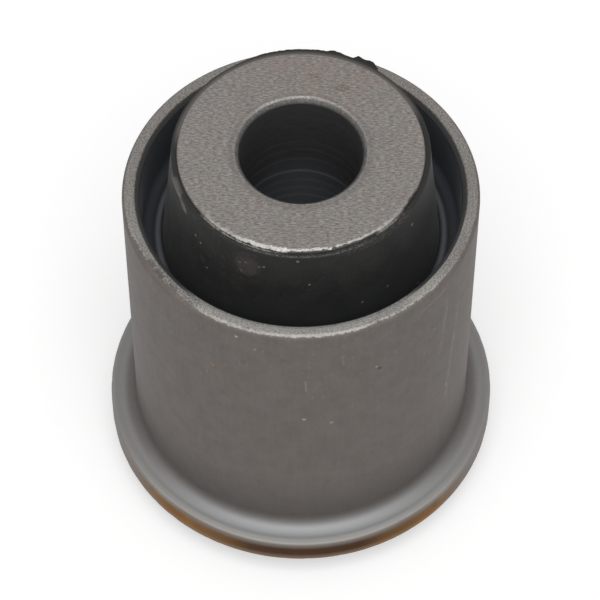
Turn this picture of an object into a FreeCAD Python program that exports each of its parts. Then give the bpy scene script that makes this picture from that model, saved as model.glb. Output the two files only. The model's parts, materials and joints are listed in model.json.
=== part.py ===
import FreeCAD, Part

import os

import Sketcher

# Bonded rubber bush for a pressed-in eye: a thick inner sleeve for the bolt, a rubber
# ring moulded on to it, and a flanged outer sleeve that presses into the housing.
# The origin is the centre of the inner sleeve's lower end face, with +Z up the axis.
# All sizes are in millimetres.

# Driving dimensions: alias, value and what it measures.
SIZES = (
    ("BoltDiameter", 16.0, "bolt that passes through the inner sleeve"),
    ("BoltClearance", 0.1, "bore diameter less bolt diameter"),
    ("InnerWall", 8.0, "wall of the inner sleeve"),
    ("RubberWall", 5.7, "rubber between the two sleeves, measured along a radius"),
    ("OuterWall", 1.75, "wall of the outer sleeve"),
    ("OuterLength", 50.0, "outer sleeve from rim to the underside of its flange"),
    ("ProudTop", 8.5, "inner sleeve above the rim of the outer sleeve"),
    ("ProudBottom", 4.5, "inner sleeve below the flange"),
    ("MouthBevel", 0.5, "bevelled mouths of the bolt bore"),
    ("FaceBevel", 0.2, "broken outer edges of the inner sleeve's end faces"),
    ("FlangeWidth", 3.65, "flange beyond the wall of the outer sleeve"),
    ("FlangeThickness", 3.85, "flange along the axis"),
    ("FlangeFillet", 2.1, "fillet between the wall and the flange"),
    ("FlangeBevel", 0.2, "broken edges of the flange"),
    ("LipWidth", 1.2, "turned line on the flange, in from the flange's edge"),
    ("LineWidth", 0.3, "width of the turned line"),
    ("LineDepth", 0.12, "depth of the turned line"),
    ("LeadIn", 0.3, "bevel outside the rim, to start the sleeve in its eye"),
    ("InsideBevel", 0.3, "bevel inside both ends of the outer sleeve"),
    ("SkinThickness", 0.7, "rubber skin at the ends of the inner sleeve"),
    ("SkinDrop", 0.25, "end of the skin, in from the inner sleeve's end face"),
    ("ConeSpread", 1.7, "growth of the skin from its end to the floor of a recess"),
    ("LiningThickness", 0.6, "rubber lining inside the outer sleeve"),
    ("LiningDrop", 0.4, "end of the lining, in from the outer sleeve's end"),
    ("RecessTop", 8.8, "depth of the upper recess below the rim"),
    ("RecessBottom", 6.0, "depth of the lower recess above the flange's underside"),
    ("CornerBevel", 1.25, "bevel where the lining meets a recess floor"),
    ("LiningBevel", 0.25, "bevelled end of the lining"),
    ("FeedWidth", 3.1, "oval mark where the rubber was fed into the mould, across"),
    ("FeedLength", 4.4, "the same mark along the axis"),
    ("FeedHeight", 0.3, "how far the middle of the feed mark stands out of the skin"),
    ("FeedDrop", 3.0, "centre of the feed mark below the end of the skin"),
    ("FeedAngle", 247.0, "bearing of the feed mark, in degrees from +X towards +Y"),
)

# Places worked out from the driving dimensions, as formulas of the sheet. Radii first.
BORE_RADIUS = "(Sizes.BoltDiameter + Sizes.BoltClearance) / 2"
INNER_RADIUS = f"{BORE_RADIUS} + Sizes.InnerWall"
SKIN_RADIUS = f"{INNER_RADIUS} + Sizes.SkinThickness"
FOOT_RADIUS = f"{SKIN_RADIUS} + Sizes.ConeSpread"
BOND_RADIUS = f"{INNER_RADIUS} + Sizes.RubberWall"
LINING_RADIUS = f"{BOND_RADIUS} - Sizes.LiningThickness"
OUTER_RADIUS = f"{BOND_RADIUS} + Sizes.OuterWall"
FLANGE_RADIUS = f"{OUTER_RADIUS} + Sizes.FlangeWidth"
LINE_RADIUS = f"{FLANGE_RADIUS} - Sizes.LipWidth"

# Heights above the lower end face.
BASE = "0"
SEAT = "Sizes.ProudBottom"
FLANGE_TOP = f"{SEAT} + Sizes.FlangeThickness"
RIM = f"{SEAT} + Sizes.OuterLength"
TOP = f"{RIM} + Sizes.ProudTop"
SKIN_BOTTOM = "Sizes.SkinDrop"
SKIN_TOP = f"{TOP} - Sizes.SkinDrop"
FLOOR_BOTTOM = f"{SEAT} + Sizes.RecessBottom"
FLOOR_TOP = f"{RIM} - Sizes.RecessTop"
LINING_BOTTOM = f"{SEAT} + Sizes.LiningDrop"
LINING_TOP = f"{RIM} - Sizes.LiningDrop"

# The fillet is as large as asked, or as large as the flange inside the turned line allows.
FLANGE_FILLET = "min(Sizes.FlangeFillet; Sizes.FlangeWidth - Sizes.LipWidth - Sizes.LineWidth)"

SAME_PLACE = 0.001


def make_sheet():
    """The sheet of driving dimensions, one row each."""
    sheet = document.addObject("Spreadsheet::Sheet", "Sizes")
    for row, (alias, size, meaning) in enumerate(SIZES, start=1):
        sheet.set(f"A{row}", meaning)
        sheet.set(f"B{row}", str(size))
        sheet.setAlias(f"B{row}", alias)
    document.recompute()
    return sheet


def value(formula):
    """What a formula of the sheet comes to now."""
    return float(sizes.evalExpression(formula))


def origin_plane(body, role):
    """One of the body's own origin planes."""
    return next(item for item in body.Origin.OriginFeatures if item.Role == role)


def turned_body(label, corners):
    """A body revolved about Z from a closed outline of (radius, height) formulas."""
    body = document.addObject("PartDesign::Body", label)
    sketch = body.newObject("Sketcher::SketchObject", f"{label}_outline")
    sketch.AttachmentSupport = [(origin_plane(body, "XZ_Plane"), "")]
    sketch.MapMode = "FlatFace"
    points = [FreeCAD.Vector(value(radius), value(height), 0) for radius, height in corners]
    for start, end in zip(points, points[1:] + points[:1]):
        sketch.addGeometry(Part.LineSegment(start, end))
    for line in range(len(points)):
        following = (line + 1) % len(points)
        sketch.addConstraint(Sketcher.Constraint("Coincident", line, 2, following, 1))
    for line, formulas in enumerate(corners):
        for kind, formula in zip(("DistanceX", "DistanceY"), formulas):
            bound = sketch.addConstraint(
                Sketcher.Constraint(kind, -1, 1, line, 1, value(formula))
            )
            sketch.setExpression(f"Constraints[{bound}]", formula)
    turned = body.newObject("PartDesign::Revolution", f"{label}_turned")
    turned.Profile = sketch
    turned.ReferenceAxis = (sketch, ["V_Axis"])
    turned.Angle = 360
    document.recompute()
    return body


def rings(shape, places):
    """Names of the circular edges at the given (radius, height) formulas."""
    wanted = [(value(radius), value(height)) for radius, height in places]
    names = []
    for number, edge in enumerate(shape.Edges, start=1):
        if not isinstance(edge.Curve, Part.Circle):
            continue
        at = (edge.Curve.Radius, edge.Curve.Center.z)
        if any(abs(at[0] - r) + abs(at[1] - z) < SAME_PLACE for r, z in wanted):
            names.append(f"Edge{number}")
    return names


def dress(body, kind, label, places, size):
    """A fillet or chamfer on the rings at the given places."""
    base = body.Tip
    feature = body.newObject(f"PartDesign::{kind}", f"{body.Label}_{label}")
    feature.Base = (base, rings(base.Shape, places))
    feature.setExpression("Radius" if kind == "Fillet" else "Size", size)
    document.recompute()


def make_inner_sleeve():
    """Thick turned tube with bevelled bore mouths and broken outer edges."""
    body = turned_body("inner_sleeve", (
        (BORE_RADIUS, BASE),
        (INNER_RADIUS, BASE),
        (INNER_RADIUS, TOP),
        (BORE_RADIUS, TOP),
    ))
    mouths = ((BORE_RADIUS, BASE), (BORE_RADIUS, TOP))
    dress(body, "Chamfer", "bore_mouths", mouths, "Sizes.MouthBevel")
    edges = ((INNER_RADIUS, BASE), (INNER_RADIUS, TOP))
    dress(body, "Chamfer", "face_edges", edges, "Sizes.FaceBevel")
    return body


def make_outer_sleeve():
    """Thin tube with a flange at its foot and a turned line round the flange's top."""
    half_line = "Sizes.LineWidth / 2"
    body = turned_body("outer_sleeve", (
        (BOND_RADIUS, SEAT),
        (FLANGE_RADIUS, SEAT),
        (FLANGE_RADIUS, FLANGE_TOP),
        (f"{LINE_RADIUS} + {half_line}", FLANGE_TOP),
        (LINE_RADIUS, f"{FLANGE_TOP} - Sizes.LineDepth"),
        (f"{LINE_RADIUS} - {half_line}", FLANGE_TOP),
        (OUTER_RADIUS, FLANGE_TOP),
        (OUTER_RADIUS, RIM),
        (BOND_RADIUS, RIM),
    ))
    ends = ((BOND_RADIUS, SEAT), (BOND_RADIUS, RIM))
    dress(body, "Chamfer", "inside_ends", ends, "Sizes.InsideBevel")
    dress(body, "Chamfer", "lead_in", ((OUTER_RADIUS, RIM),), "Sizes.LeadIn")
    dress(body, "Fillet", "flange_root", ((OUTER_RADIUS, FLANGE_TOP),), FLANGE_FILLET)
    edges = ((FLANGE_RADIUS, SEAT), (FLANGE_RADIUS, FLANGE_TOP))
    dress(body, "Chamfer", "flange_edges", edges, "Sizes.FlangeBevel")
    return body


def add_feed_mark(body):
    """A low oval pad on the upper cone, where a slanting feed met the mould."""
    below_end = "Sizes.FeedDrop"
    cone_height = f"({SKIN_TOP} - ({FLOOR_TOP}))"
    surface = f"{SKIN_RADIUS} + Sizes.ConeSpread * {below_end} / {cone_height}"
    root = f"{INNER_RADIUS} + Sizes.SkinThickness / 2"
    sketch = body.newObject("Sketcher::SketchObject", "rubber_body_feed_oval")
    sketch.AttachmentSupport = [(origin_plane(body, "YZ_Plane"), "")]
    sketch.MapMode = "FlatFace"
    turn = FreeCAD.Rotation(FreeCAD.Vector(0, 1, 0), value("Sizes.FeedAngle"))
    sketch.AttachmentOffset = FreeCAD.Placement(FreeCAD.Vector(), turn)
    sketch.setExpression("AttachmentOffset.Rotation.Angle", "Sizes.FeedAngle")
    sketch.setExpression("AttachmentOffset.Base.x", f"sin(Sizes.FeedAngle) * ({root})")
    sketch.setExpression("AttachmentOffset.Base.z", f"cos(Sizes.FeedAngle) * ({root})")
    centre = FreeCAD.Vector(0, value(f"{SKIN_TOP} - {below_end}"), 0)
    tip = centre + FreeCAD.Vector(0, value("Sizes.FeedLength") / 2, 0)
    side = centre + FreeCAD.Vector(value("Sizes.FeedWidth") / 2, 0, 0)
    oval = sketch.addGeometry(Part.Ellipse(tip, side, centre))
    sketch.exposeInternalGeometry(oval)
    long_axis, short_axis = oval + 1, oval + 2
    sketch.addConstraint(Sketcher.Constraint("PointOnObject", oval, 3, -2))
    sketch.addConstraint(Sketcher.Constraint("Vertical", long_axis))
    height = sketch.addConstraint(Sketcher.Constraint("DistanceY", -1, 1, oval, 3, centre.y))
    sketch.setExpression(f"Constraints[{height}]", f"{SKIN_TOP} - {below_end}")
    for axis, alias in ((long_axis, "Sizes.FeedLength"), (short_axis, "Sizes.FeedWidth")):
        bound = sketch.addConstraint(Sketcher.Constraint("Distance", axis, value(alias)))
        sketch.setExpression(f"Constraints[{bound}]", alias)
    pad = body.newObject("PartDesign::Pad", "rubber_body_feed_mark")
    pad.Profile = sketch
    pad.setExpression("Length", f"{surface} + Sizes.FeedHeight - ({root})")
    document.recompute()


def make_rubber_body():
    """One moulding: the ring between the sleeves, its recesses, skins and linings."""
    body = turned_body("rubber_body", (
        (INNER_RADIUS, SKIN_BOTTOM),
        (SKIN_RADIUS, SKIN_BOTTOM),
        (FOOT_RADIUS, FLOOR_BOTTOM),
        (LINING_RADIUS, FLOOR_BOTTOM),
        (LINING_RADIUS, LINING_BOTTOM),
        (BOND_RADIUS, LINING_BOTTOM),
        (BOND_RADIUS, LINING_TOP),
        (LINING_RADIUS, LINING_TOP),
        (LINING_RADIUS, FLOOR_TOP),
        (FOOT_RADIUS, FLOOR_TOP),
        (SKIN_RADIUS, SKIN_TOP),
        (INNER_RADIUS, SKIN_TOP),
    ))
    corners = ((LINING_RADIUS, FLOOR_BOTTOM), (LINING_RADIUS, FLOOR_TOP))
    dress(body, "Chamfer", "recess_corners", corners, "Sizes.CornerBevel")
    ends = ((LINING_RADIUS, LINING_BOTTOM), (LINING_RADIUS, LINING_TOP))
    dress(body, "Chamfer", "lining_ends", ends, "Sizes.LiningBevel")
    add_feed_mark(body)
    return body


def check(bodies):
    """Stops if an object failed to rebuild or a piece isn't one valid solid."""
    for item in document.Objects:
        if "Invalid" in item.State or "Error" in item.State:
            raise RuntimeError(f"{item.Label} did not rebuild: {item.State}")
    for body in bodies:
        if body.Shape.isNull() or not body.Shape.isValid() or len(body.Shape.Solids) != 1:
            raise RuntimeError(f"{body.Label} is not one valid solid")


document = FreeCAD.newDocument("RubberMetalBush")
sizes = make_sheet()
pieces = [make_inner_sleeve(), make_rubber_body(), make_outer_sleeve()]
document.recompute()
check(pieces)

os.makedirs("parts", exist_ok=True)
for piece in pieces:
    piece.Shape.exportStep(f"parts/{piece.Label}.step")
    print(f"{piece.Label}: {piece.Shape.Volume:.1f} mm3, {len(piece.Shape.Faces)} faces")
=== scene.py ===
"""Looks of a bonded rubber bush: finish, wear and moulding marks around its solids."""
import json
import math

import bpy
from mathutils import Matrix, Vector, noise


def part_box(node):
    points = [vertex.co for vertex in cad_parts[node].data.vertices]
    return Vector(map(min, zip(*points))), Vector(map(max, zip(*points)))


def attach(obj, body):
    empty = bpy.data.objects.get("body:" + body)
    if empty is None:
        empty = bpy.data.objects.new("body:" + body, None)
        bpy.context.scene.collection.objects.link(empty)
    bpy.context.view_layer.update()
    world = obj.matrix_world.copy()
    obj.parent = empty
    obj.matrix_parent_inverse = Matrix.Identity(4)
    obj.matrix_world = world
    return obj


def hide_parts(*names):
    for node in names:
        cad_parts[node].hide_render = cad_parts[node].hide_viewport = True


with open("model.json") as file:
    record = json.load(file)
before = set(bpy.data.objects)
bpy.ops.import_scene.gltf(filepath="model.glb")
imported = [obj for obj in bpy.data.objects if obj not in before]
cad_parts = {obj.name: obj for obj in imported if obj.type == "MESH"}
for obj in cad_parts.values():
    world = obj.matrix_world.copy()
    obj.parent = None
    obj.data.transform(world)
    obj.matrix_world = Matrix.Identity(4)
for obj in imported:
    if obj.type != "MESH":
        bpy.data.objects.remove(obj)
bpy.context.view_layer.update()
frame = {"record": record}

# Lengths are in millimetres and bearings in degrees from +X towards +Y, so the viewer of the
# photograph stands at 270. Meshes are scaled to metres, and the lamp and camera are in metres.
MM = 0.001

mounts = {mount["name"]: mount for mount in frame["record"]["mounts"]}


def reach(node):
    """Outer radius, lowest and highest place of a turned solid."""
    low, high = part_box(node)
    return round(high[0] / MM, 2), round(low[2] / MM, 2), round(high[2] / MM, 2)


INNER_RADIUS, BASE, TOP = reach("inner_sleeve")
BOND_RADIUS, SKIN_BASE, SKIN_TOP = reach("rubber_body")
FLANGE_RADIUS, SEAT, RIM = reach("outer_sleeve")
BORE_RADIUS = mounts["bolt_bore"]["dims"]["r_mm"]
WALL_RADIUS = mounts["eye_wall"]["dims"]["r_mm"]
FLANGE_TOP = mounts["flange_seat"]["pos_m"][2] / MM

# Smaller forms. Those of the inner sleeve and the rubber are alike at both ends.
MOUTH_BEVEL = 0.5
MOUTH_RADIUS = BORE_RADIUS + MOUTH_BEVEL
MOUTH_ROUND = 0.1
FACE_ROUND = 0.2
RIM_ROUND = 0.6
INSIDE_ROUND = 0.25
FLANGE_FILLET = 2.1
FLANGE_LIP_ROUND = 0.45
FLANGE_ROUND = 0.3
LINE_RADIUS = FLANGE_RADIUS - 1.4
LINE_WIDTH = 1.4
LINE_DEPTH = 0.03
SKIN_RADIUS = INNER_RADIUS + 0.7
SKIN_ROUND = 0.12
FOOT_RADIUS = SKIN_RADIUS + 1.7
FOOT_ROUND = 0.4
LINING_RADIUS = BOND_RADIUS - 0.6
LINING_DROP = 0.4
RECESS_TOP = RIM - 8.8
RECESS_BOTTOM = SEAT + 6.0
CORNER_ROUND = 1.3

# Points round each piece, and along a rounded corner: fewer where it is small.
INNER_SEGMENTS = 512
OUTER_SEGMENTS = 640
RUBBER_SEGMENTS = 720
ARC_STEPS = 7
SMALL_STEPS = 4
SMALL_ROUND = 0.3


def place(radius, bearing, height):
    """A point on the part, in millimetres."""
    turn = math.radians(bearing)
    return Vector((radius * math.cos(turn), radius * math.sin(turn), height))


def bell(distance, width):
    """1 at a distance of 0, falling smoothly to 0 at the width."""
    share = min(abs(distance) / width, 1)
    return (1 - share * share) ** 2


def stretch(bearing, first, last, fade):
    """1 between two bearings, fading to 0 over some degrees outside them."""
    middle = (first + last) / 2
    away = abs((bearing - middle + 180) % 360 - 180) - (last - first) / 2
    return 1 - min(max(away / fade, 0), 1)


def grain(radius, bearing, height, size, seed=0):
    """Smooth noise from -1 to 1 whose lumps are about size across."""
    return noise.noise(place(radius, bearing, height) / size + Vector((seed, seed, seed)))


def along(profile, bearing):
    """The value of a profile of (bearing, value) at a bearing, eased between points, else 0."""
    for (start, first), (end, last) in zip(profile, profile[1:]):
        if start <= bearing <= end:
            share = (bearing - start) / (end - start)
            return first + (last - first) * share * share * (3 - 2 * share)
    return 0.0


def cone_radius(height):
    """Outer radius of the upper skin at a height."""
    return SKIN_RADIUS + (FOOT_RADIUS - SKIN_RADIUS) * (SKIN_TOP - height) / (SKIN_TOP - RECESS_TOP)


def arc(before, corner, after, size, steps):
    """Points of the arc that rounds a corner between two neighbours."""
    to_before = (before - corner).normalized()
    to_after = (after - corner).normalized()
    half = to_before.angle(to_after) / 2
    centre = corner + (to_before + to_after).normalized() * (size / math.sin(half))
    first = corner + to_before * (size / math.tan(half)) - centre
    last = corner + to_after * (size / math.tan(half)) - centre
    start = math.atan2(first.y, first.x)
    turn = (math.atan2(last.y, last.x) - start + math.pi) % (2 * math.pi) - math.pi
    angles = [start + turn * step / steps for step in range(steps + 1)]
    return [centre + Vector((math.cos(a), math.sin(a))) * size for a in angles]


def outline(corners):
    """A closed outline from corners of radius, height, rounding and spacing of the next run."""
    points = []
    for number, (radius, height, size, spacing) in enumerate(corners):
        corner = Vector((radius, height))
        before = Vector(corners[number - 1][:2])
        after = Vector(corners[(number + 1) % len(corners)][:2])
        steps = ARC_STEPS if size > SMALL_ROUND else SMALL_STEPS
        points.append((arc(before, corner, after, size, steps) if size else [corner], spacing))
    spaced = []
    for number, (run, spacing) in enumerate(points):
        spaced += run
        start, end = run[-1], points[(number + 1) % len(points)][0][0]
        parts = max(1, round((end - start).length / spacing)) if spacing else 1
        spaced += [start.lerp(end, part / parts) for part in range(1, parts)]
    return spaced


def turned(name, corners, segments, relief):
    """A closed ring turned from the corners, with each point moved out and up by its relief."""
    points = outline(corners)
    rows = len(points)
    vertices = []
    for segment in range(segments):
        bearing = 360 * segment / segments
        for radius, height in points:
            out, up = relief(radius, height, bearing)
            vertices.append(place(radius + out, bearing, height + up) * MM)
    faces = []
    for segment in range(segments):
        here, there = segment * rows, (segment + 1) % segments * rows
        for row in range(rows):
            following = (row + 1) % rows
            faces.append((here + row, there + row, there + following, here + following))
    mesh = bpy.data.meshes.new(name)
    mesh.from_pydata(vertices, [], faces)
    mesh.shade_smooth()
    mesh.update()
    piece = bpy.data.objects.new(name, mesh)
    bpy.context.collection.objects.link(piece)
    return piece


# Marks that the boring tool left: depth below the face, depth of the mark and brightness.
BORE_RINGS = (
    (8.6, 0.006, 0.15), (10.3, 0.01, 0.2), (12.3, 0.012, 0.25), (15.0, 0.025, 1.0),
    (17.0, 0.014, 0.4), (18.7, 0.014, 0.45), (20.4, 0.02, 1.0), (22.1, 0.014, 0.6),
)
RING_WIDTH = 0.45

# Where the upper face's edge was knocked: first and last bearing, and how far it is pressed in.
FACE_DENTS = (
    (224.5, 226.5, 0.1), (232.0, 233.0, 0.12), (239.5, 241.5, 0.08), (247.0, 248.0, 0.1),
    (262.0, 264.0, 0.07), (269.5, 271.5, 0.1), (283.0, 284.5, 0.08), (299.0, 301.0, 0.09),
)
DENT_FADE = 0.8
# The stretch of that edge with the most wear: first and last bearing, and fading.
WORN_STRETCH = (225, 312, 12)
# How far wear reaches in from an edge, how far it rounds it and how deep it is.
EDGE_REACH = 0.7
EDGE_WIDTH = 0.5
EDGE_WEAR = 0.07
MOUTH_REACH = 0.3


def inner_relief(radius, height, bearing):
    """Dented edges of the end faces, a rough bore mouth and rings in the bore."""
    end = min(TOP - height, height - BASE)
    sign = 1 if height > RIM else -1
    out = up = 0.0
    if radius > INNER_RADIUS - EDGE_REACH and end < EDGE_REACH:
        ragged = grain(radius, bearing, height, 0.55) + 0.7 * grain(radius, bearing, height, 0.22)
        deep = EDGE_WEAR * max(ragged, 0)
        if sign > 0:
            deep *= 0.5 + stretch(bearing, *WORN_STRETCH)
            deep += sum(dent * stretch(bearing, first, last, DENT_FADE) for first, last, dent in FACE_DENTS)
        out -= deep * bell(end, EDGE_WIDTH)
        up -= deep * bell(INNER_RADIUS - radius, EDGE_WIDTH) * sign
    if radius < MOUTH_RADIUS + MOUTH_REACH and end < MOUTH_BEVEL + MOUTH_REACH:
        out += 0.04 * grain(radius, bearing, height, 0.5, 7) + 0.03 * grain(radius, bearing, height, 0.25, 8)
    if radius < BORE_RADIUS + 0.01:
        for depth, deep, _ in BORE_RINGS:
            out += deep * bell(end - depth, RING_WIDTH)
        out += 0.008 * grain(radius, bearing, height, 0.6, 3)
    return out, up


def make_inner_sleeve():
    """The thick sleeve, from its bore outwards."""
    return turned("inner_sleeve_dressed", (
        (BORE_RADIUS, BASE + MOUTH_BEVEL, MOUTH_ROUND, 0.25),
        (MOUTH_RADIUS, BASE, MOUTH_ROUND, 0.6),
        (INNER_RADIUS, BASE, FACE_ROUND, 8),
        (INNER_RADIUS, TOP, FACE_ROUND, 0.6),
        (MOUTH_RADIUS, TOP, MOUTH_ROUND, 0.25),
        (BORE_RADIUS, TOP - MOUTH_BEVEL, MOUTH_ROUND, 0.45),
    ), INNER_SEGMENTS, inner_relief)


# Nicks in the rim: first and last bearing, and depth.
RIM_NICKS = ((227.5, 231.5, 0.14), (298.6, 299.8, 0.1), (303.5, 305.0, 0.08), (308.6, 309.6, 0.1))
NICK_FADE = 1.2
# Where the rim's outer edge is worn down: bearing, and share of the full wear.
WORN_RIM = ((198.0, 0.0), (206.0, 0.7), (213.0, 0.5), (219.0, 1.0), (228.0, 0.9), (235.0, 0.0))
# How far the rim's wear reaches down and inwards, and how deep its grain is.
RIM_REACH = 1.2
WORN_WIDTH = 1.1
RIM_GRAIN = 0.05
# The flange's edge is this much smaller than the solid's, and its pits are this deep.
EDGE_INSET = 0.01
EDGE_PITS = 0.05


def outer_relief(radius, height, bearing):
    """A worn and nicked rim, a rough flange, and a wall that isn't quite true."""
    out = up = 0.0
    if height > RIM - RIM_REACH:
        ragged = grain(radius, bearing, height, 0.5, 2) + 0.6 * grain(radius, bearing, height, 0.22, 5)
        up -= RIM_GRAIN * max(ragged, 0)
        for first, last, deep in RIM_NICKS:
            up -= deep * stretch(bearing, first, last, NICK_FADE) * bell(radius - WALL_RADIUS, 1.0)
        outward = min(max((radius - WALL_RADIUS + WORN_WIDTH) / WORN_WIDTH, 0), 1)
        up -= along(WORN_RIM, bearing) * outward * (0.16 + 0.12 * ragged)
    if WALL_RADIUS - 0.1 < radius < FLANGE_RADIUS - 1:
        out += 0.005 * grain(radius, bearing, height, 6, 9)
    if radius > FLANGE_RADIUS - 0.6:
        rough = grain(radius, bearing, height, 1.3, 4) + 0.5 * grain(radius, bearing, height, 0.5, 6)
        out -= EDGE_INSET + EDGE_PITS * max(rough, 0)
    if FLANGE_TOP - 0.1 < height < FLANGE_TOP + 0.1:
        up -= LINE_DEPTH * bell(radius - LINE_RADIUS, LINE_WIDTH / 2)
    return out, up


def make_outer_sleeve():
    """The thin sleeve and its flange, with the turned line round the flange."""
    return turned("outer_sleeve_dressed", (
        (BOND_RADIUS, SEAT, INSIDE_ROUND, 0.9),
        (FLANGE_RADIUS, SEAT, FLANGE_ROUND, 0.4),
        (FLANGE_RADIUS, FLANGE_TOP, FLANGE_LIP_ROUND, 0.1),
        (WALL_RADIUS, FLANGE_TOP, FLANGE_FILLET, 0.8),
        (WALL_RADIUS, RIM, RIM_ROUND, 0.2),
        (BOND_RADIUS, RIM, INSIDE_ROUND, None),
    ), OUTER_SEGMENTS, outer_relief)


# The thin edge of rubber at the back, torn off in one place and left ragged: bearing, and
# how far it stands out of the skin.
TORN_EDGE = (
    (52.8, 0.0), (54.2, 0.4), (56.2, 0.7), (58.5, 0.76), (61.2, 0.62), (64.0, 0.72), (66.4, 0.24),
    (69.5, 0.28), (73.0, 0.46), (75.6, 0.52), (78.4, 0.28), (90.0, 0.24), (105.0, 0.22), (122.0, 0.0),
)
TORN_REACH = 1.6
# Strips that were trimmed or scraped off the skin at the left: bearing and height of each end.
TRIMMED_STRIPS = (
    (191.0, SKIN_TOP - 1.0, 202.4, SKIN_TOP - 0.6), (202.4, SKIN_TOP - 0.6, 209.2, SKIN_TOP - 1.6),
    (195.0, SKIN_TOP - 0.2, 203.0, SKIN_TOP - 0.3),
)
STRIP_RELIEF = 0.1
# The oval where the moulding was fed: a low boss with a raised line round it.
FEED_BEARING = 246.4
FEED_HEIGHT = SKIN_TOP - 3.1
FEED_WIDTH = 3.0
FEED_LENGTH = 4.3
FEED_RELIEF = 0.1
FEED_LINE = 0.07


def rubber_relief(radius, height, bearing):
    """The ragged end of the upper skin, the feed mark and soft unevenness elsewhere."""
    out = up = 0.0
    if INNER_RADIUS + 0.05 < radius < FOOT_RADIUS + 0.2:
        out += 0.03 * grain(radius, bearing, height, 2.5, 11)
    if height > SKIN_TOP - TORN_REACH and INNER_RADIUS + 0.1 < radius < SKIN_RADIUS + 0.6:
        edge = bell(SKIN_TOP - height, TORN_REACH) * bell(radius - SKIN_RADIUS, 0.6)
        ragged = grain(SKIN_RADIUS, bearing, 0, 0.5, 13) + 0.6 * grain(SKIN_RADIUS, bearing, 0, 0.25, 17)
        up += 0.05 * ragged * edge
        torn = along(TORN_EDGE, bearing)
        out += torn * edge * (1 + 0.12 * ragged)
        up += 0.2 * torn * edge
        for first, low, last, high in TRIMMED_STRIPS:
            if first <= bearing <= last:
                middle = low + (high - low) * (bearing - first) / (last - first)
                out += STRIP_RELIEF * bell(height - middle, 0.35)
    if radius < SKIN_RADIUS + 1 and height > SKIN_TOP - 8 and radius > INNER_RADIUS + 0.3:
        across = (bearing - FEED_BEARING) * math.radians(radius) / (FEED_WIDTH / 2)
        upward = (height - FEED_HEIGHT) / (FEED_LENGTH / 2)
        inside = math.hypot(across, upward)
        out += FEED_RELIEF * min(max((1.08 - inside) / 0.16, 0), 1)
        out += FEED_LINE * bell(inside - 0.9, 0.16)
    return out, up


def make_rubber():
    """The moulding: skins, recesses and linings, alike at both ends."""
    return turned("rubber_body_dressed", (
        (INNER_RADIUS, SKIN_BASE, 0, 0.35),
        (SKIN_RADIUS, SKIN_BASE, SKIN_ROUND, 1.2),
        (FOOT_RADIUS, RECESS_BOTTOM, FOOT_ROUND, 0.6),
        (LINING_RADIUS, RECESS_BOTTOM, CORNER_ROUND, 1.2),
        (LINING_RADIUS, SEAT + LINING_DROP, INSIDE_ROUND, None),
        (BOND_RADIUS, SEAT + LINING_DROP, 0, 8),
        (BOND_RADIUS, RIM - LINING_DROP, 0, None),
        (LINING_RADIUS, RIM - LINING_DROP, INSIDE_ROUND, 1.0),
        (LINING_RADIUS, RECESS_TOP, CORNER_ROUND, 0.6),
        (FOOT_RADIUS, RECESS_TOP, FOOT_ROUND, 0.3),
        (SKIN_RADIUS, SKIN_TOP, SKIN_ROUND, 0.12),
        (INNER_RADIUS, SKIN_TOP, 0, 8),
    ), RUBBER_SEGMENTS, rubber_relief)


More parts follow.
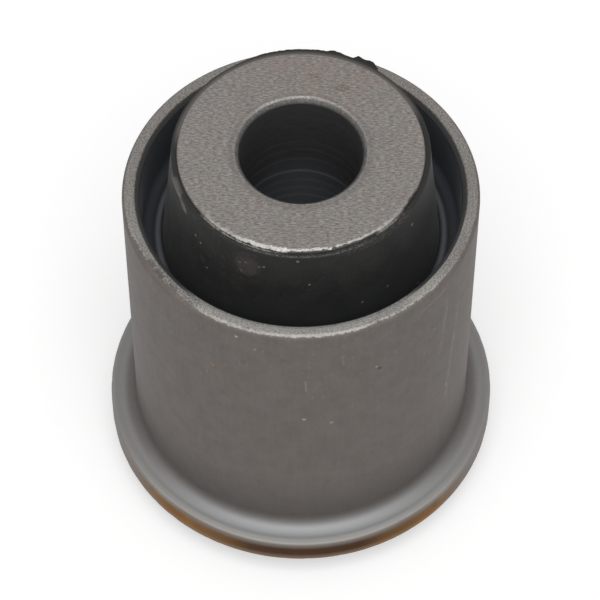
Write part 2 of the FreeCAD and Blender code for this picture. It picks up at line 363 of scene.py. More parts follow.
class Look:
    """A material, and short calls that add its nodes and return their outputs."""

    def __init__(self, name, **finish):
        self.material = bpy.data.materials.new(name)
        self.material.use_nodes = True
        self.nodes = self.material.node_tree.nodes
        self.links = self.material.node_tree.links
        self.shader = self.nodes["Principled BSDF"]
        for socket, setting in finish.items():
            self.shader.inputs[socket.replace("_", " ")].default_value = setting
        position = self.add("ShaderNodeTexCoord").outputs["Object"]
        self.at = self.vector("SCALE", position, factor=1 / MM)
        east, north, self.height = self.add("ShaderNodeSeparateXYZ", self.at).outputs
        squares = [self.math("MULTIPLY", side, side) for side in (east, north)]
        self.radius = self.math("SQRT", self.math("ADD", *squares))
        turn = self.math("MULTIPLY", self.math("ARCTAN2", north, east), 180 / math.pi)
        self.bearing = self.math("FLOORED_MODULO", turn, 360)

    def add(self, kind, *sources, **settings):
        """A node of a kind, with sources in its first inputs."""
        node = self.nodes.new(kind)
        for setting, choice in settings.items():
            setattr(node, setting, choice)
        for number, source in enumerate(sources):
            self.join(source, node.inputs[number])
        return node

    def join(self, source, socket):
        """Links an output to a socket, or sets the socket to a number or colour."""
        if isinstance(source, bpy.types.NodeSocket):
            self.links.new(source, socket)
        else:
            socket.default_value = source

    def math(self, operation, *sources, clamp=False):
        """The result of an operation on numbers."""
        return self.add("ShaderNodeMath", *sources, operation=operation, use_clamp=clamp).outputs[0]

    def vector(self, operation, *sources, factor=None):
        """The result of an operation on vectors: a length for DISTANCE, else a vector."""
        node = self.add("ShaderNodeVectorMath", *sources, operation=operation)
        if factor is not None:
            self.join(factor, node.inputs["Scale"])
        return node.outputs["Value" if operation == "DISTANCE" else "Vector"]

    def noise(self, size, detail=2.0, roughness=0.5, stretched=(1, 1, 1), seed=0.0):
        """Noise from 0 to 1 with lumps of a size, which may be stretched along an axis."""
        scaled = self.vector("MULTIPLY", self.at, [1 / (size * s) for s in stretched])
        node = self.add("ShaderNodeTexNoise", noise_dimensions="4D")
        self.join(scaled, node.inputs["Vector"])
        for socket, setting in (("W", seed), ("Scale", 1.0), ("Detail", detail), ("Roughness", roughness)):
            node.inputs[socket].default_value = setting
        return node.outputs[0]

    def swing(self, source, width):
        """A noise moved to swing round 0, over a width."""
        return self.math("MULTIPLY", self.math("SUBTRACT", source, 0.5), width)

    def ramp(self, source, low, high):
        """0 below low and 1 above high, smooth between. Low may be the larger."""
        node = self.add("ShaderNodeMapRange", interpolation_type="SMOOTHSTEP")
        for socket, setting in (("Value", source), ("From Min", low), ("From Max", high)):
            self.join(setting, node.inputs[socket])
        return node.outputs[0]

    def near(self, source, middle, width):
        """1 where the source is at the middle, 0 beyond the width."""
        away = self.math("ABSOLUTE", self.math("SUBTRACT", source, middle))
        return self.ramp(away, width, 0)

    def between(self, first, last, fade):
        """1 between two bearings, fading over some degrees outside them."""
        middle, half = (first + last) / 2, (last - first) / 2
        away = self.math("PINGPONG", self.math("SUBTRACT", self.bearing, middle), 180)
        return self.ramp(away, half + fade, half)

    def stretches(self, table):
        """The strongest of several stretches: first and last bearing, fading and strength."""
        return self.any(*[self.all(self.between(first, last, fade), strength)
                          for first, last, fade, strength in table])

    def spot(self, radius, bearing, height, size):
        """1 within half of a size of a place, fading to 0 at the size."""
        away = self.vector("DISTANCE", self.at, place(radius, bearing, height))
        return self.ramp(away, size, size / 2)

    def stroke(self, first, last, width):
        """1 along a straight line between two places, fading to 0 at the width."""
        start, end = place(*first), place(*last)
        step = end - start
        from_start = self.vector("SUBTRACT", self.at, start)
        scaled = step / step.length_squared
        share = self.add("ShaderNodeVectorMath", from_start, scaled, operation="DOT_PRODUCT")
        share = self.math("ADD", share.outputs["Value"], 0, clamp=True)
        nearest = self.vector("SCALE", step, factor=share)
        away = self.vector("DISTANCE", from_start, nearest)
        return self.ramp(away, width, 0)

    def flecks(self, spacing, size, share, seed=0.0):
        """Sparse round specks: their spacing, their size and the share of places that have one."""
        moved = self.vector("ADD", self.at, (seed, seed, seed))
        cells = self.add("ShaderNodeTexVoronoi", self.vector("SCALE", moved, factor=1 / spacing))
        chance = self.add("ShaderNodeSeparateColor", cells.outputs["Color"]).outputs[0]
        round_speck = self.ramp(cells.outputs["Distance"], size / spacing, 0.4 * size / spacing)
        return self.all(round_speck, self.ramp(chance, 1 - share, 1 - 0.8 * share))

    def all(self, *sources):
        """The product of masks and factors."""
        product = sources[0]
        for source in sources[1:]:
            product = self.math("MULTIPLY", product, source)
        return product

    def any(self, *sources):
        """The strongest of several masks."""
        largest = sources[0]
        for source in sources[1:]:
            largest = self.math("MAXIMUM", largest, source)
        return largest

    def mix(self, share, first, second):
        """One colour turning into another."""
        node = self.add("ShaderNodeMix", data_type="RGBA")
        self.join(share, node.inputs["Factor"])
        self.join(first, node.inputs[6])
        self.join(second, node.inputs[7])
        return node.outputs[2]

    def number(self, share, first, second):
        """One number turning into another, as a grey that its socket reads as a number."""
        return self.mix(share, (first, first, first, 1), (second, second, second, 1))

    def paint(self, under, over, *shares):
        """A colour over another, as far as the product of the masks and factors."""
        return self.mix(self.all(*shares), under, over)

    def roughness(self, least, source):
        """Roughness that rises a little with a noise."""
        return self.math("ADD", least, self.math("MULTIPLY", source, 0.2))

    def finish(self, colour, roughness, relief, depth, metallic=None):
        """Joins the results to the shader, with relief as bump of a depth in millimetres."""
        self.join(colour, self.shader.inputs["Base Color"])
        self.join(roughness, self.shader.inputs["Roughness"])
        if metallic is not None:
            self.join(metallic, self.shader.inputs["Metallic"])
        bump = self.add("ShaderNodeBump")
        bump.inputs["Distance"].default_value = depth * MM
        self.join(relief, bump.inputs["Height"])
        self.join(bump.outputs[0], self.shader.inputs["Normal"])
        return self.material


def tone(red, green, blue):
    """A colour as a screen shows it, from 0 to 255, in linear light."""
    channels = [channel / 255 for channel in (red, green, blue)]
    linear = [c / 12.92 if c <= 0.04045 else ((c + 0.055) / 1.055) ** 2.4 for c in channels]
    return (*linear, 1.0)


# How far the steel counts as bare metal. The bore is dull and the brown band isn't metal at all.
BARE = 0.45
BORE_BARE = 0.1

# Rust spots on the end face: radius, bearing, size and strength.
RUST_SPOTS = ((11.5, 63, 0.8, 0.65), (11.9, 60, 0.5, 0.45), (12.05, 83, 1.1, 0.25), (15.3, 59, 0.5, 0.3))


def end_face(look, fine, leathery):
    """A leathery phosphated face with glints, a faint brown tint and some rust."""
    streaky = look.noise(0.18, 2, 0.6, stretched=(4.0, 1, 1), seed=33)
    cloud = look.noise(3.2, 3, 0.5, seed=8)
    lumpy = look.noise(0.34, 3, 0.6, stretched=(1.6, 1, 1), seed=52)
    face = look.mix(look.ramp(leathery, 0.36, 0.64), tone(93, 88, 84), tone(146, 141, 137))
    blurred = look.mix(look.ramp(lumpy, 0.3, 0.7), tone(112, 107, 103), tone(140, 135, 131))
    face = look.mix(0.25, face, blurred)
    face = look.paint(face, tone(168, 164, 160), look.ramp(fine, 0.54, 0.74), 0.3)
    face = look.paint(face, tone(164, 160, 156), look.ramp(fine, 0.56, 0.78), 0.4)
    face = look.paint(face, tone(192, 187, 182), look.ramp(streaky, 0.42, 0.72), 0.35)
    face = look.paint(face, tone(92, 88, 85), look.near(look.radius, MOUTH_RADIUS + 0.5, 0.7), 0.3)
    small_glints = look.flecks(0.55, 0.14, 0.3, seed=3.0)
    large_glints = look.all(look.flecks(0.8, 0.2, 0.3, seed=7.0), 0.7)
    face = look.paint(face, tone(196, 192, 188), look.any(small_glints, large_glints), 0.45)
    face = look.paint(face, tone(108, 102, 98), look.ramp(cloud, 0.5, 0.7), 0.2)
    face = look.paint(face, tone(132, 108, 98), look.between(60, 95, 35), look.ramp(cloud, 0.62, 0.35), 0.2)
    for radius, bearing, size, strength in RUST_SPOTS:
        rust = look.all(look.spot(radius, bearing, TOP, size), look.ramp(leathery, 0.62, 0.42))
        face = look.paint(face, tone(98, 70, 52), rust, strength)
    return face


def face_edge_wear_and_highlight(look, colour, fine, ragged, unevenness):
    """The face's edge, worn white along the front with a painted highlight that is strongest there, and dark
    where rubber or dents cover it.
    """
    bevel = look.ramp(look.radius, INNER_RADIUS - FACE_ROUND, INNER_RADIUS - FACE_ROUND / 2)
    bevel_tone = look.mix(look.between(60, 160, 25), tone(98, 88, 83), tone(116, 110, 106))
    colour = look.paint(colour, bevel_tone, bevel, 0.7)

    edge_line = look.math("ADD", look.radius, unevenness)
    lumps = look.noise(0.9, 3, 0.65, seed=41)
    wear_and_highlight = look.all(look.ramp(edge_line, INNER_RADIUS - 0.62, INNER_RADIUS - 0.3),
                    look.between(230, 312, 16), look.ramp(lumps, 0.3, 0.52), look.ramp(fine, 0.2, 0.5))
    # Wear and painted highlight: the worn edge is painted whiter towards the front, where it catches the
    # light.
    highlight_strength = look.number(look.between(254, 290, 24), 0.42, 0.88)
    colour = look.paint(colour, tone(212, 209, 205), wear_and_highlight, highlight_strength)
    # Painted highlight: a bright line along the very front of the edge.
    painted_edge_highlight = look.all(look.near(edge_line, INNER_RADIUS - 0.45, 0.22),
                         look.between(246, 276, 8), look.ramp(fine, 0.3, 0.5))
    colour = look.paint(colour, tone(226, 224, 220), painted_edge_highlight, 0.7)

    pressed = look.math("SUBTRACT", look.radius, look.swing(lumps, 0.7))
    covered = look.all(look.ramp(pressed, INNER_RADIUS - 0.3, INNER_RADIUS - 0.16),
                       look.any(look.between(264, 306, 3), look.between(326, 335, 3)))
    dented = look.all(look.ramp(pressed, INNER_RADIUS - 0.14, INNER_RADIUS), look.between(236, 262, 8))
    pitted = look.all(look.ramp(look.radius, INNER_RADIUS - 0.2, INNER_RADIUS - 0.05),
                      look.ramp(ragged, 0.55, 0.66))
    return look.paint(colour, tone(56, 52, 50), look.any(covered, dented, pitted), 0.92)


def bore_mouth(look, colour, unevenness):
    """The grainy bevel at the bore's mouth, with a pale burr round its back that is painted brighter there
    as a highlight.
    """
    grit = look.noise(0.28, 3, 0.7, seed=17)
    # A burr with a painted highlight: painted pale only round the back of the mouth.
    burr_line = look.math("ADD", look.radius, look.all(unevenness, 0.3))
    burr_and_highlight = look.all(look.near(burr_line, MOUTH_RADIUS + 0.24, 0.36),
                    look.between(72, 108, 62), look.ramp(grit, 0.36, 0.6))
    strongest = look.number(look.between(84, 120, 16), 0.6, 1)
    colour = look.paint(colour, tone(194, 192, 189), burr_and_highlight, strongest)
    mouth = look.mix(look.ramp(grit, 0.34, 0.66), tone(84, 82, 79), tone(122, 120, 117))
    mouth = look.paint(mouth, tone(54, 54, 54), look.ramp(look.height, TOP - 0.12, TOP - 0.55), 0.85)
    return look.paint(colour, mouth, look.ramp(look.radius, MOUTH_RADIUS + 0.04, MOUTH_RADIUS - 0.06))


def bore_wall(look):
    """A dark bore, painted paler and bluer lower down as painted light, with the rings that the boring tool
    left.
    """
    streaks = look.noise(0.5, 3, 0.6, stretched=(5, 5, 1), seed=12)
    bore = look.mix(look.ramp(streaks, 0.3, 0.7), tone(58, 58, 59), tone(66, 66, 68))
    # Painted light: the bore is painted paler and bluer lower down.
    bore = look.paint(bore, tone(112, 115, 121), look.ramp(look.height, TOP - 10, TOP - 24), 0.9)
    broken = look.ramp(streaks, 0.2, 0.5)
    for depth, _, brightness in BORE_RINGS:
        ring = look.near(look.height, TOP - depth, RING_WIDTH)
        bore = look.paint(bore, tone(136, 140, 145), ring, broken, 0.42 * brightness)
    return bore


def steel_inner():
    """Phosphated face with a front edge that is worn and carries a painted highlight, a grainy bore mouth
    with a burr painted brighter at its back as a highlight, and a dark bore painted paler lower down as
    painted light.
    """
    look = Look("inner_sleeve_steel", Specular_IOR_Level=0.3)
    fine = look.noise(0.2, 2, 0.6)
    leathery = look.noise(0.2, 3, 0.7, stretched=(3.0, 1, 1), seed=21)
    ragged = look.noise(0.4, 3, 0.7, seed=5)
    unevenness = look.swing(ragged, 1.4)
    colour = end_face(look, fine, leathery)
    colour = face_edge_wear_and_highlight(look, colour, fine, ragged, unevenness)
    colour = bore_mouth(look, colour, unevenness)
    in_bore = look.ramp(look.radius, BORE_RADIUS + 0.1, BORE_RADIUS + 0.04)
    colour = look.mix(in_bore, colour, bore_wall(look))
    relief = look.math("ADD", look.all(fine, 0.6), leathery)
    metallic = look.number(in_bore, BARE, BORE_BARE)
    return look.finish(colour, look.roughness(0.5, fine), relief, 0.04, metallic)


# Broad pale streaks on the wall: bearing and height of both ends, and width.
PALE_STREAKS = (((331.5, 44), (327.0, 24), 0.8), ((324.5, 49), (321.5, 38), 0.6))
# Pale specks on the wall: bearing, height, size and strength.
WALL_SPECKS = (
    (249.4, 52.9, 0.3, 1.0), (271.0, 35.4, 0.34, 0.8), (279.9, 34.1, 0.32, 0.55),
    (255.4, 51.0, 0.3, 0.4), (326.7, 27.7, 0.34, 0.35), (294.7, 44.9, 0.24, 0.7),
)
# A dark pit in the wall: bearing, height and size.
WALL_PIT = (295.8, 44.3, 0.42)
# Rust runs and scratches on the wall: bearing and height of both ends, width, strength and tone.
WALL_SCRATCHES = (
    ((240.0, 44.15), (241.4, 44.0), 0.26, 0.9, tone(160, 122, 76)),
    ((241.6, 43.95), (242.7, 43.8), 0.24, 0.7, tone(128, 92, 56)),
    ((271.4, 44.6), (271.7, 42.2), 0.16, 0.5, tone(156, 152, 149)),
    ((311.5, 52.0), (322.0, 52.4), 0.45, 0.4, tone(140, 136, 132)),
    ((283.0, 49.6), (283.6, 47.6), 0.22, 0.4, tone(134, 130, 126)),
)


def on_wall(look, start, end, width):
    """1 along a line between two places on the wall."""
    return look.stroke((WALL_RADIUS, *start), (WALL_RADIUS, *end), width)


def wall_finish(look, fine, mottle):
    """The matt grey wall: drawn streaks, scuffs towards the rim, marks and a foot darkened as painted shade.
    """
    drawn = look.noise(0.6, 3, 0.6, stretched=(1, 1, 10), seed=6)
    patchy = look.noise(0.9, 3, 0.65, stretched=(1, 1, 1.8), seed=27)
    scuffs = look.noise(0.42, 3, 0.7, stretched=(1, 1, 2.5), seed=31)
    high = look.ramp(look.height, RIM - 30, RIM - 4)
    wall = look.mix(look.ramp(mottle, 0.3, 0.7), tone(107, 101, 97), tone(113, 107, 103))
    wall = look.paint(wall, tone(116, 111, 107), look.ramp(drawn, 0.4, 0.7), 0.4)
    wall = look.paint(wall, tone(93, 87, 83), look.ramp(patchy, 0.45, 0.25), 0.4)
    wall = look.paint(wall, tone(132, 127, 123), look.ramp(fine, 0.6, 0.85), 0.25)
    wall = look.paint(wall, tone(140, 135, 131), look.ramp(scuffs, 0.57, 0.72), high, 0.5)
    wall = look.paint(wall, tone(88, 83, 79), look.ramp(scuffs, 0.4, 0.28), high, 0.4)
    wall = look.paint(wall, tone(140, 136, 132), look.flecks(2.6, 0.24, 0.4), 0.45)
    pale = look.any(*[on_wall(look, *streak) for streak in PALE_STREAKS])
    wall = look.paint(wall, tone(138, 134, 130), pale, look.ramp(patchy, 0.35, 0.55), 0.4)
    # Painted shade: the wall is painted darker towards the flange.
    shaded_foot = look.ramp(look.height, FLANGE_TOP + 13, FLANGE_TOP + 4)
    wall = look.paint(wall, tone(90, 86, 83), shaded_foot, 0.42)
    for bearing, height, size, strength in WALL_SPECKS:
        wall = look.paint(wall, tone(164, 161, 158), look.spot(WALL_RADIUS, bearing, height, size), strength)
    wall = look.paint(wall, tone(66, 62, 59), look.spot(WALL_RADIUS, *WALL_PIT), 0.6)
    for start, end, width, strength, mark in WALL_SCRATCHES:
        scratch = look.all(on_wall(look, start, end, width), look.ramp(scuffs, 0.25, 0.5))
        wall = look.paint(wall, mark, scratch, strength)
    return wall


# Stretches of the rim: first and last bearing, fading and strength.
ROUGH_RIM = ((203, 232, 6, 1), (296, 312, 6, 1))
DULL_RIM = ((213, 231, 7, 0.75), (205, 213, 8, 0.4), (296, 306, 5, 0.35), (326, 340, 6, 0.45))
RIM_GAPS = ((210.0, 212.5, 1.2, 0.85), (214.8, 217.8, 1.4, 1), (222.0, 224.5, 1.2, 0.7))


def rim_finish(look, colour, mottle, coarse):
    """The pale grainy rim with its rough and dull stretches, painted paler towards the front as painted
    light, painted highlights on its inner and worn outer edges at the front, and the mask of the rim.
    """
    ragged = look.noise(0.5, 3, 0.65, seed=15)
    wobble = look.swing(ragged, look.number(look.between(198, 232, 8), 0.62, 1))
    outward = look.math("ADD", look.radius, wobble)
    rough = look.stretches(ROUGH_RIM)
    narrower = look.any(look.all(rough, 0.36), look.all(look.between(322, 345, 8), 0.12))
    limit = look.math("SUBTRACT", WALL_RADIUS - 0.34, narrower)
    on_rim = look.all(look.ramp(look.height, RIM - 0.42, RIM - 0.22),
                      look.ramp(look.math("SUBTRACT", outward, limit), 0.1, -0.05))

    rim = look.mix(look.ramp(coarse, 0.36, 0.64), tone(101, 98, 94), tone(163, 159, 155))
    even = look.mix(look.ramp(mottle, 0.3, 0.7), tone(124, 121, 117), tone(134, 131, 127))
    rim = look.mix(0.3, rim, even)
    # Painted highlight: the rim's inner edge is painted pale along the front.
    inner_lip = look.ramp(look.radius, BOND_RADIUS + 0.32, BOND_RADIUS + 0.08)
    rim = look.paint(rim, tone(206, 203, 199), inner_lip, look.between(210, 340, 15), 0.75)
    # Painted light: the rim is painted paler towards the front.
    rim = look.paint(rim, tone(190, 187, 182), look.between(232, 308, 60), look.ramp(coarse, 0.25, 0.6), 0.5)
    rim = look.paint(rim, tone(84, 80, 77), look.stretches(DULL_RIM), look.ramp(coarse, 0.75, 0.3))
    rim = look.paint(rim, tone(188, 185, 181), rough, look.ramp(coarse, 0.6, 0.7), 0.6)
    outer_part = look.ramp(look.radius, WALL_RADIUS - 1.5, WALL_RADIUS - 0.9)
    rim = look.paint(rim, tone(92, 88, 85), look.stretches(RIM_GAPS), outer_part, 0.9)
    colour = look.mix(on_rim, colour, rim)

    # Wear and painted highlight: the rim's outer edge is painted pale along the front.
    broken = look.all(look.between(236, 312, 5), look.ramp(ragged, 0.42, 0.58))
    wear_and_highlight = look.all(look.near(outward, WALL_RADIUS - 0.58, 0.3),
                    look.ramp(look.height, RIM - 0.42, RIM - 0.2),
                    look.any(look.between(262, 288, 6), broken))
    colour = look.paint(colour, tone(204, 202, 198), wear_and_highlight, look.ramp(coarse, 0.2, 0.5), 0.75)
    spilled = look.all(look.ramp(look.height, RIM - 1.6, RIM - 0.3), rough, look.ramp(coarse, 0.6, 0.72))
    return look.paint(colour, tone(176, 173, 169), spilled, 0.6), on_rim


def flange_finish(look, colour, fine):
    """The flange's upper side: darker near the wall and paler outwards as painted shade, paler at the front
    as painted light, a painted highlight on its outer band at the front, the turned line darkened as painted
    shade, and a dull lip.
    """
    # Painted shade: the flange is painted darker near the wall and paler outwards.
    flange = look.mix(look.ramp(look.radius, WALL_RADIUS + 0.9, LINE_RADIUS + 0.2),
                      tone(107, 104, 102), tone(146, 144, 142))
    # Painted light: the flange is painted paler at the front.
    flange = look.paint(flange, tone(159, 160, 161), look.between(262, 278, 72))
    # Painted highlight: the outer band is painted paler at the front.
    outer_band = look.ramp(look.radius, LINE_RADIUS + 0.1, LINE_RADIUS + 0.5)
    band_tone = look.mix(look.between(255, 285, 66), tone(138, 136, 135), tone(184, 180, 175))
    flange = look.paint(flange, band_tone, outer_band, 0.7)
    flange = look.paint(flange, tone(180, 178, 175), look.ramp(fine, 0.45, 0.75), 0.12)
    # Painted shade: the turned line is painted darker.
    flange = look.paint(flange, tone(116, 119, 122), look.near(look.radius, LINE_RADIUS, 0.6), 0.15)
    lip = look.all(look.ramp(look.radius, FLANGE_RADIUS - 0.5, FLANGE_RADIUS - 0.05),
                   look.between(200, 340, 15))
    flange = look.paint(flange, tone(118, 109, 100), lip, look.number(look.between(236, 304, 15), 0.45, 0.9))
    on_top = look.all(look.ramp(look.radius, WALL_RADIUS - 0.05, WALL_RADIUS + 1.1),
                      look.ramp(look.height, FLANGE_TOP + 2.2, FLANGE_TOP + 1.6))
    return look.paint(colour, flange, on_top)


def flange_edge(look, colour, mottle):
    """The flange's edge with its brown band, darkened towards the front as painted shadow and paler at the
    bottom as painted reflection, and the mask of the band.
    """
    on_edge = look.all(look.ramp(look.radius, FLANGE_RADIUS - 0.4, FLANGE_RADIUS - 0.1),
                       look.ramp(look.height, FLANGE_TOP - 0.05, FLANGE_TOP - 1.3))
    colour = look.paint(colour, tone(124, 118, 114), on_edge)
    uneven = look.swing(look.noise(7, 2, 0.5, seed=4), 0.4)
    ragged_ends = look.all(uneven, look.between(225, 310, 20))
    band_reach = look.math("ADD", look.between(231, 306, 28), ragged_ends, clamp=True)
    brown_band = look.mix(look.ramp(mottle, 0.3, 0.7), tone(124, 84, 36), tone(138, 97, 44))
    # Painted shadow: the band is painted darker towards the middle of the front.
    brown_band = look.paint(brown_band, tone(110, 76, 34), look.between(247, 300, 10))
    brown_band = look.paint(brown_band, tone(68, 40, 12), look.between(257, 287, 11))
    # Painted reflection: the band is painted paler towards the bottom of the edge.
    brown_band = look.paint(brown_band, tone(146, 128, 112), look.ramp(look.height, SEAT + 1.6, SEAT + 0.3), 0.7)
    on_brown_band = look.all(on_edge, band_reach)
    return look.paint(colour, brown_band, on_brown_band), on_brown_band


def steel_outer():
    """Grey phosphated wall, a grainy rim and flange painted brighter towards the front as painted light, and
    a brown band on its edge.
    """
    look = Look("outer_sleeve_steel", Specular_IOR_Level=0.12)
    fine = look.noise(0.26, 2, 0.6)
    mottle = look.noise(2.4, 3, 0.5, seed=2)
    coarse = look.noise(0.24, 3, 0.7, seed=9)
    colour = wall_finish(look, fine, mottle)
    colour, on_rim = rim_finish(look, colour, mottle, coarse)
    colour = flange_finish(look, colour, fine)
    colour, on_brown_band = flange_edge(look, colour, mottle)
    relief = look.math("ADD", look.all(fine, 0.6), look.all(coarse, on_rim))
    metallic = look.number(on_brown_band, BARE, 0)
    return look.finish(colour, look.roughness(0.52, fine), relief, 0.03, metallic)


# Specks on the upper skin: bearing, height and size.
SKIN_SPECKS = (
    (268.6, 62.1, 0.26), (273.6, 57.6, 0.2), (309.0, 52.4, 0.24), (296.3, 51.9, 0.24), (326.9, 47.5, 0.3),
    (326.6, 59.8, 0.3), (226.3, 54.9, 0.22), (218.1, 59.1, 0.24), (221.6, 58.6, 0.22), (254.0, 60.3, 0.2),
)
# A crumb left at the end of a trimmed strip.
CRUMB_BEARING = 207.5
CRUMB_HEIGHT = SKIN_TOP - 1.3
# Pips round the feed mark: turn and lift from its middle, and size.
FEED_PIPS = ((-0.6, 0.6, 0.3), (-2.6, -1.3, 0.4), (-3.4, 0.2, 0.3), (5.6, 0.4, 0.26), (7.4, 0.6, 0.24))
# The painted highlight that rings the recess floor.
FLOOR_HIGHLIGHT_RADIUS = 19.1


def moulded(look, fine, grit, cloud):
    """Black rubber with smudges, painted paler low on the skin as painted light in the shade of the recess.
    """
    smudges = look.noise(1.2, 4, 0.7, seed=23)
    colour = look.mix(look.ramp(cloud, 0.3, 0.7), tone(20, 20, 20), tone(31, 31, 30))
    colour = look.paint(colour, tone(52, 50, 48), look.ramp(fine, 0.5, 0.75), 0.45)
    brown = look.all(look.ramp(smudges, 0.52, 0.72), look.between(195, 245, 15))
    colour = look.paint(colour, tone(62, 56, 50), brown, 0.6)
    gritty = look.all(look.ramp(grit, 0.56, 0.72), look.between(195, 330, 20))
    colour = look.paint(colour, tone(66, 62, 58), gritty, 0.35)
    colour = look.paint(colour, tone(18, 18, 18), look.ramp(smudges, 0.46, 0.3), 0.5)
    # Painted light: the lower skin in the recess is painted paler, lifting its shade.
    low = look.all(look.ramp(look.height, RIM + 3, RIM - 6),
                   look.ramp(look.radius, FOOT_RADIUS + 0.5, FOOT_RADIUS + 0.1))
    return look.paint(colour, tone(62, 63, 65), low, 0.6)


def recess(look, colour, grit):
    """The recess painted paler and bluer as painted light, a painted highlight ringing its floor, and the
    lining's end painted pale beside the rim as painted light and highlight.
    """
    # Painted light: the recess beyond the skin is painted paler and bluer.
    lit_recess = look.ramp(look.radius, FOOT_RADIUS + 0.6, LINING_RADIUS - 0.3)
    colour = look.paint(colour, tone(76, 80, 86), lit_recess, 0.88)
    # Painted highlight: a pale ring on the recess floor.
    painted_floor_highlight = look.all(look.near(look.radius, FLOOR_HIGHLIGHT_RADIUS, 0.6),
                        look.ramp(look.height, RECESS_TOP + 1.2, RECESS_TOP + 0.5))
    colour = look.paint(colour, tone(110, 114, 120), painted_floor_highlight, 0.8)
    # Painted light: the lining's end is painted paler towards the rim, filling the shade beside it.
    lining_end = look.all(look.ramp(look.radius, LINING_RADIUS - 0.3, LINING_RADIUS),
                          look.ramp(look.height, RIM - LINING_DROP - 0.3, RIM - LINING_DROP - 0.1))
    end_tone = look.mix(look.ramp(look.radius, BOND_RADIUS - 0.25, BOND_RADIUS),
                        tone(44, 44, 45), tone(92, 90, 88))
    colour = look.paint(colour, end_tone, lining_end)
    # Painted highlight: along the front the lining's end is painted pale like the rim's lit edge.
    beside_rim = look.all(lining_end, look.ramp(look.radius, BOND_RADIUS - 0.48, BOND_RADIUS - 0.3),
                          look.between(235, 305, 12), look.ramp(grit, 0.2, 0.6))
    return look.paint(colour, tone(150, 147, 143), beside_rim, 0.95)


def dusted(look, colour):
    """Scattered dust, and the larger specks on the skin."""
    dust = look.any(look.flecks(1.3, 0.18, 0.4), look.flecks(2.7, 0.26, 0.4, seed=5.0))
    colour = look.paint(colour, tone(104, 102, 98), dust, 0.5)
    for bearing, height, size in SKIN_SPECKS:
        speck = look.spot(cone_radius(height), bearing, height, size)
        colour = look.paint(colour, tone(132, 130, 126), speck, 0.6)
    return colour


def skin_end(look, colour, fine, grit):
    """The end of the upper skin: grey, smeared on the steel, ragged, with a painted highlight on its outer
    edge at the front, and trimmed at the left.
    """
    at_end = look.ramp(look.height, SKIN_TOP - 0.3, SKIN_TOP - 0.1)
    end = look.all(at_end, look.ramp(look.radius, SKIN_RADIUS + 0.2, SKIN_RADIUS))
    colour = look.paint(colour, tone(46, 45, 44), end, 0.45)
    fading = look.all(look.ramp(look.radius, INNER_RADIUS + 0.75, INNER_RADIUS), at_end)
    colour = look.paint(colour, tone(104, 98, 94), fading, look.between(30, 165, 15), 0.9)
    smeared = look.all(look.ramp(look.radius, INNER_RADIUS + 0.28, INNER_RADIUS + 0.1), at_end,
                       look.any(look.between(222, 256, 6), look.between(309, 318, 4)),
                       look.ramp(grit, 0.35, 0.55))
    colour = look.paint(colour, tone(158, 155, 151), smeared, 0.9)
    scraps = look.all(end, look.between(228, 318, 10), look.ramp(grit, 0.56, 0.7),
                      look.ramp(look.radius, SKIN_RADIUS - 0.05, SKIN_RADIUS - 0.2))
    colour = look.paint(colour, tone(140, 138, 135), scraps, 0.55)
    # Painted highlight: a paler line along the skin's outer edge at the front.
    lip = look.all(look.near(look.radius, SKIN_RADIUS - 0.2, 0.2), at_end, look.between(248, 296, 6),
                   look.ramp(fine, 0.4, 0.56))
    colour = look.paint(colour, tone(112, 112, 110), lip, 0.6)
    scuffed = look.all(look.between(290, 324, 7), look.ramp(look.height, SKIN_TOP - 1.0, SKIN_TOP - 0.5),
                       look.ramp(fine, 0.45, 0.62))
    colour = look.paint(colour, tone(84, 85, 83), scuffed, 0.4)

    for first, low, last, high in TRIMMED_STRIPS:
        strip = look.stroke((cone_radius(low), first, low), (cone_radius(high), last, high), 0.62)
        colour = look.paint(colour, tone(116, 113, 108), strip, look.ramp(grit, 0.26, 0.5), 0.75)
    crumb = look.spot(cone_radius(CRUMB_HEIGHT), CRUMB_BEARING, CRUMB_HEIGHT, 0.8)
    return look.paint(colour, tone(112, 109, 104), crumb, look.ramp(grit, 0.35, 0.55), 0.7)


def feed_mark(look, colour, fine):
    """The brownish feed mark with its pips, and a smear above it."""
    radius = cone_radius(FEED_HEIGHT)
    feed = look.spot(radius, FEED_BEARING, FEED_HEIGHT, 2.3)
    colour = look.paint(colour, tone(60, 54, 53), feed, look.ramp(fine, 0.2, 0.5), 0.7)
    for turn, lift, size in FEED_PIPS:
        pip = look.spot(radius, FEED_BEARING + turn, FEED_HEIGHT + lift, size)
        colour = look.paint(colour, tone(98, 92, 90), pip, 0.5)
    smear = look.all(look.near(look.bearing, FEED_BEARING, 5),
                     look.near(look.height, FEED_HEIGHT + 2.1, 0.5))
    return look.paint(colour, tone(70, 52, 46), smear, look.ramp(fine, 0.35, 0.6), 0.4)


def black_rubber():
    """Satin black moulding with dust, a lighter torn edge and a brownish feed mark."""
    look = Look("rubber_moulding", Specular_IOR_Level=0.25, Sheen_Weight=0.06, Sheen_Roughness=0.35)
    fine = look.noise(0.35, 3, 0.65)
    grit = look.noise(0.24, 3, 0.7, seed=19)
    cloud = look.noise(3.5, 3, 0.55, seed=2)
    colour = moulded(look, fine, grit, cloud)
    colour = recess(look, colour, grit)
    colour = dusted(look, colour)
    colour = skin_end(look, colour, fine, grit)
    colour = feed_mark(look, colour, fine)
    relief = look.math("ADD", look.all(cloud, 2.0), fine)
    return look.finish(colour, look.roughness(0.52, cloud), relief, 0.03)


def dress(piece, node, material):
    """Puts a finished piece in the place of its plain solid."""
    piece.data.materials.append(material)
    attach(piece, "root")
    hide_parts(node)


dress(make_inner_sleeve(), "inner_sleeve", steel_inner())
dress(make_rubber(), "rubber_body", black_rubber())
dress(make_outer_sleeve(), "outer_sleeve", steel_outer())


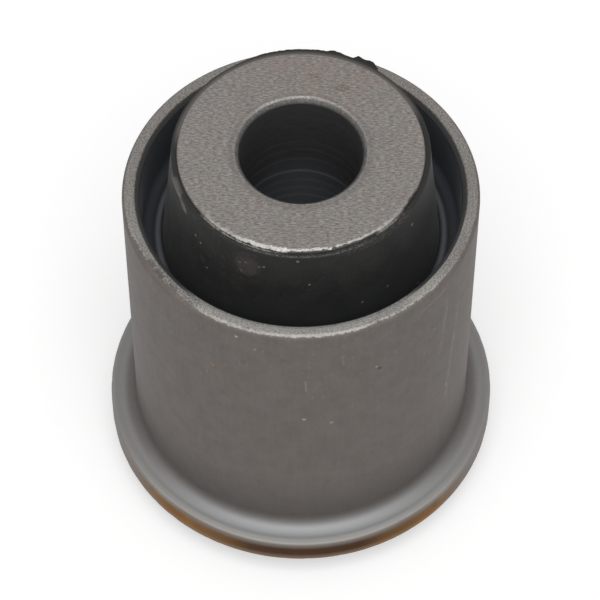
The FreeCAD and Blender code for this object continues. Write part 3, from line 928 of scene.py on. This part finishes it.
def lifted(tree, base, lift):
    """A strength of light, raised by a lift that only the camera, gloss and glass see."""
    path = tree.nodes.new("ShaderNodeLightPath")
    seen = path.outputs["Is Camera Ray"]
    for other in ("Is Glossy Ray", "Is Transmission Ray"):
        either = tree.nodes.new("ShaderNodeMath")
        either.operation = "MAXIMUM"
        tree.links.new(seen, either.inputs[0])
        tree.links.new(path.outputs[other], either.inputs[1])
        seen = either.outputs[0]
    scale = tree.nodes.new("ShaderNodeMath")
    scale.operation = "MULTIPLY_ADD"
    tree.links.new(seen, scale.inputs[0])
    scale.inputs[1].default_value = lift
    scale.inputs[2].default_value = base
    return scale.outputs[0]


# The floor, in metres. It looks white to the camera and in reflections and keeps the shadow.
FLOOR_REACH = 4.0
FLOOR_COLOUR = (0.75, 0.75, 0.75, 1)
FLOOR_LIFT = 0.4
WHITE = (1, 1, 1, 1)
floor_mesh = bpy.data.meshes.new("floor")
floor_corners = [(x * FLOOR_REACH, y * FLOOR_REACH, 0) for x, y in ((-1, -1), (1, -1), (1, 1), (-1, 1))]
floor_mesh.from_pydata(floor_corners, [], [(0, 1, 2, 3)])
floor = bpy.data.objects.new("floor", floor_mesh)
bpy.context.collection.objects.link(floor)
floor_look = bpy.data.materials.new("pale_floor")
floor_look.use_nodes = True
floor_tree = floor_look.node_tree
floor_shader = floor_tree.nodes["Principled BSDF"]
floor_shader.inputs["Base Color"].default_value = FLOOR_COLOUR
floor_shader.inputs["Roughness"].default_value = 1
floor_shader.inputs["Specular IOR Level"].default_value = 0
floor_shader.inputs["Emission Color"].default_value = WHITE
floor_tree.links.new(lifted(floor_tree, 0.0, FLOOR_LIFT), floor_shader.inputs["Emission Strength"])
floor_mesh.materials.append(floor_look)

# Light: an even sky, and a wide soft lamp above the viewer.
SKY = 0.5
world = bpy.data.worlds.new("studio")
bpy.context.scene.world = world
world.use_nodes = True
background = world.node_tree.nodes["Background"]
background.inputs["Color"].default_value = WHITE
world.node_tree.links.new(lifted(world.node_tree, SKY, 1 - SKY), background.inputs["Strength"])

LAMP_WATTS = 3.6
LAMP_SIZE = 0.6
LAMP_PLACE = Vector((0.0, -0.36, 0.78))
LAMP_TARGET = Vector((0, 0, 0.03))
lamp_data = bpy.data.lights.new("key", "AREA")
lamp_data.energy = LAMP_WATTS
lamp_data.size = LAMP_SIZE
lamp = bpy.data.objects.new("key", lamp_data)
lamp.location = LAMP_PLACE
lamp.rotation_euler = (LAMP_TARGET - LAMP_PLACE).to_track_quat("-Z", "Y").to_euler()
bpy.context.collection.objects.link(lamp)

# The camera, at the photograph's place.
CAMERA_PLACE = Vector((-0.000125, -0.240001, 0.380572))
CAMERA_TARGET = Vector((-0.000125, 0.000054, 0.028845))
CAMERA_LENS = 185.3
CAMERA_SENSOR = 36
CLIP_START = 0.01
camera_data = bpy.data.cameras.new("camera")
camera_data.lens = CAMERA_LENS
camera_data.sensor_width = CAMERA_SENSOR
camera_data.clip_start = CLIP_START
camera = bpy.data.objects.new("camera", camera_data)
camera.location = CAMERA_PLACE
camera.rotation_euler = (CAMERA_TARGET - CAMERA_PLACE).to_track_quat("-Z", "Y").to_euler()
bpy.context.collection.objects.link(camera)
bpy.context.scene.camera = camera
bpy.context.scene.view_settings.view_transform = "Standard"
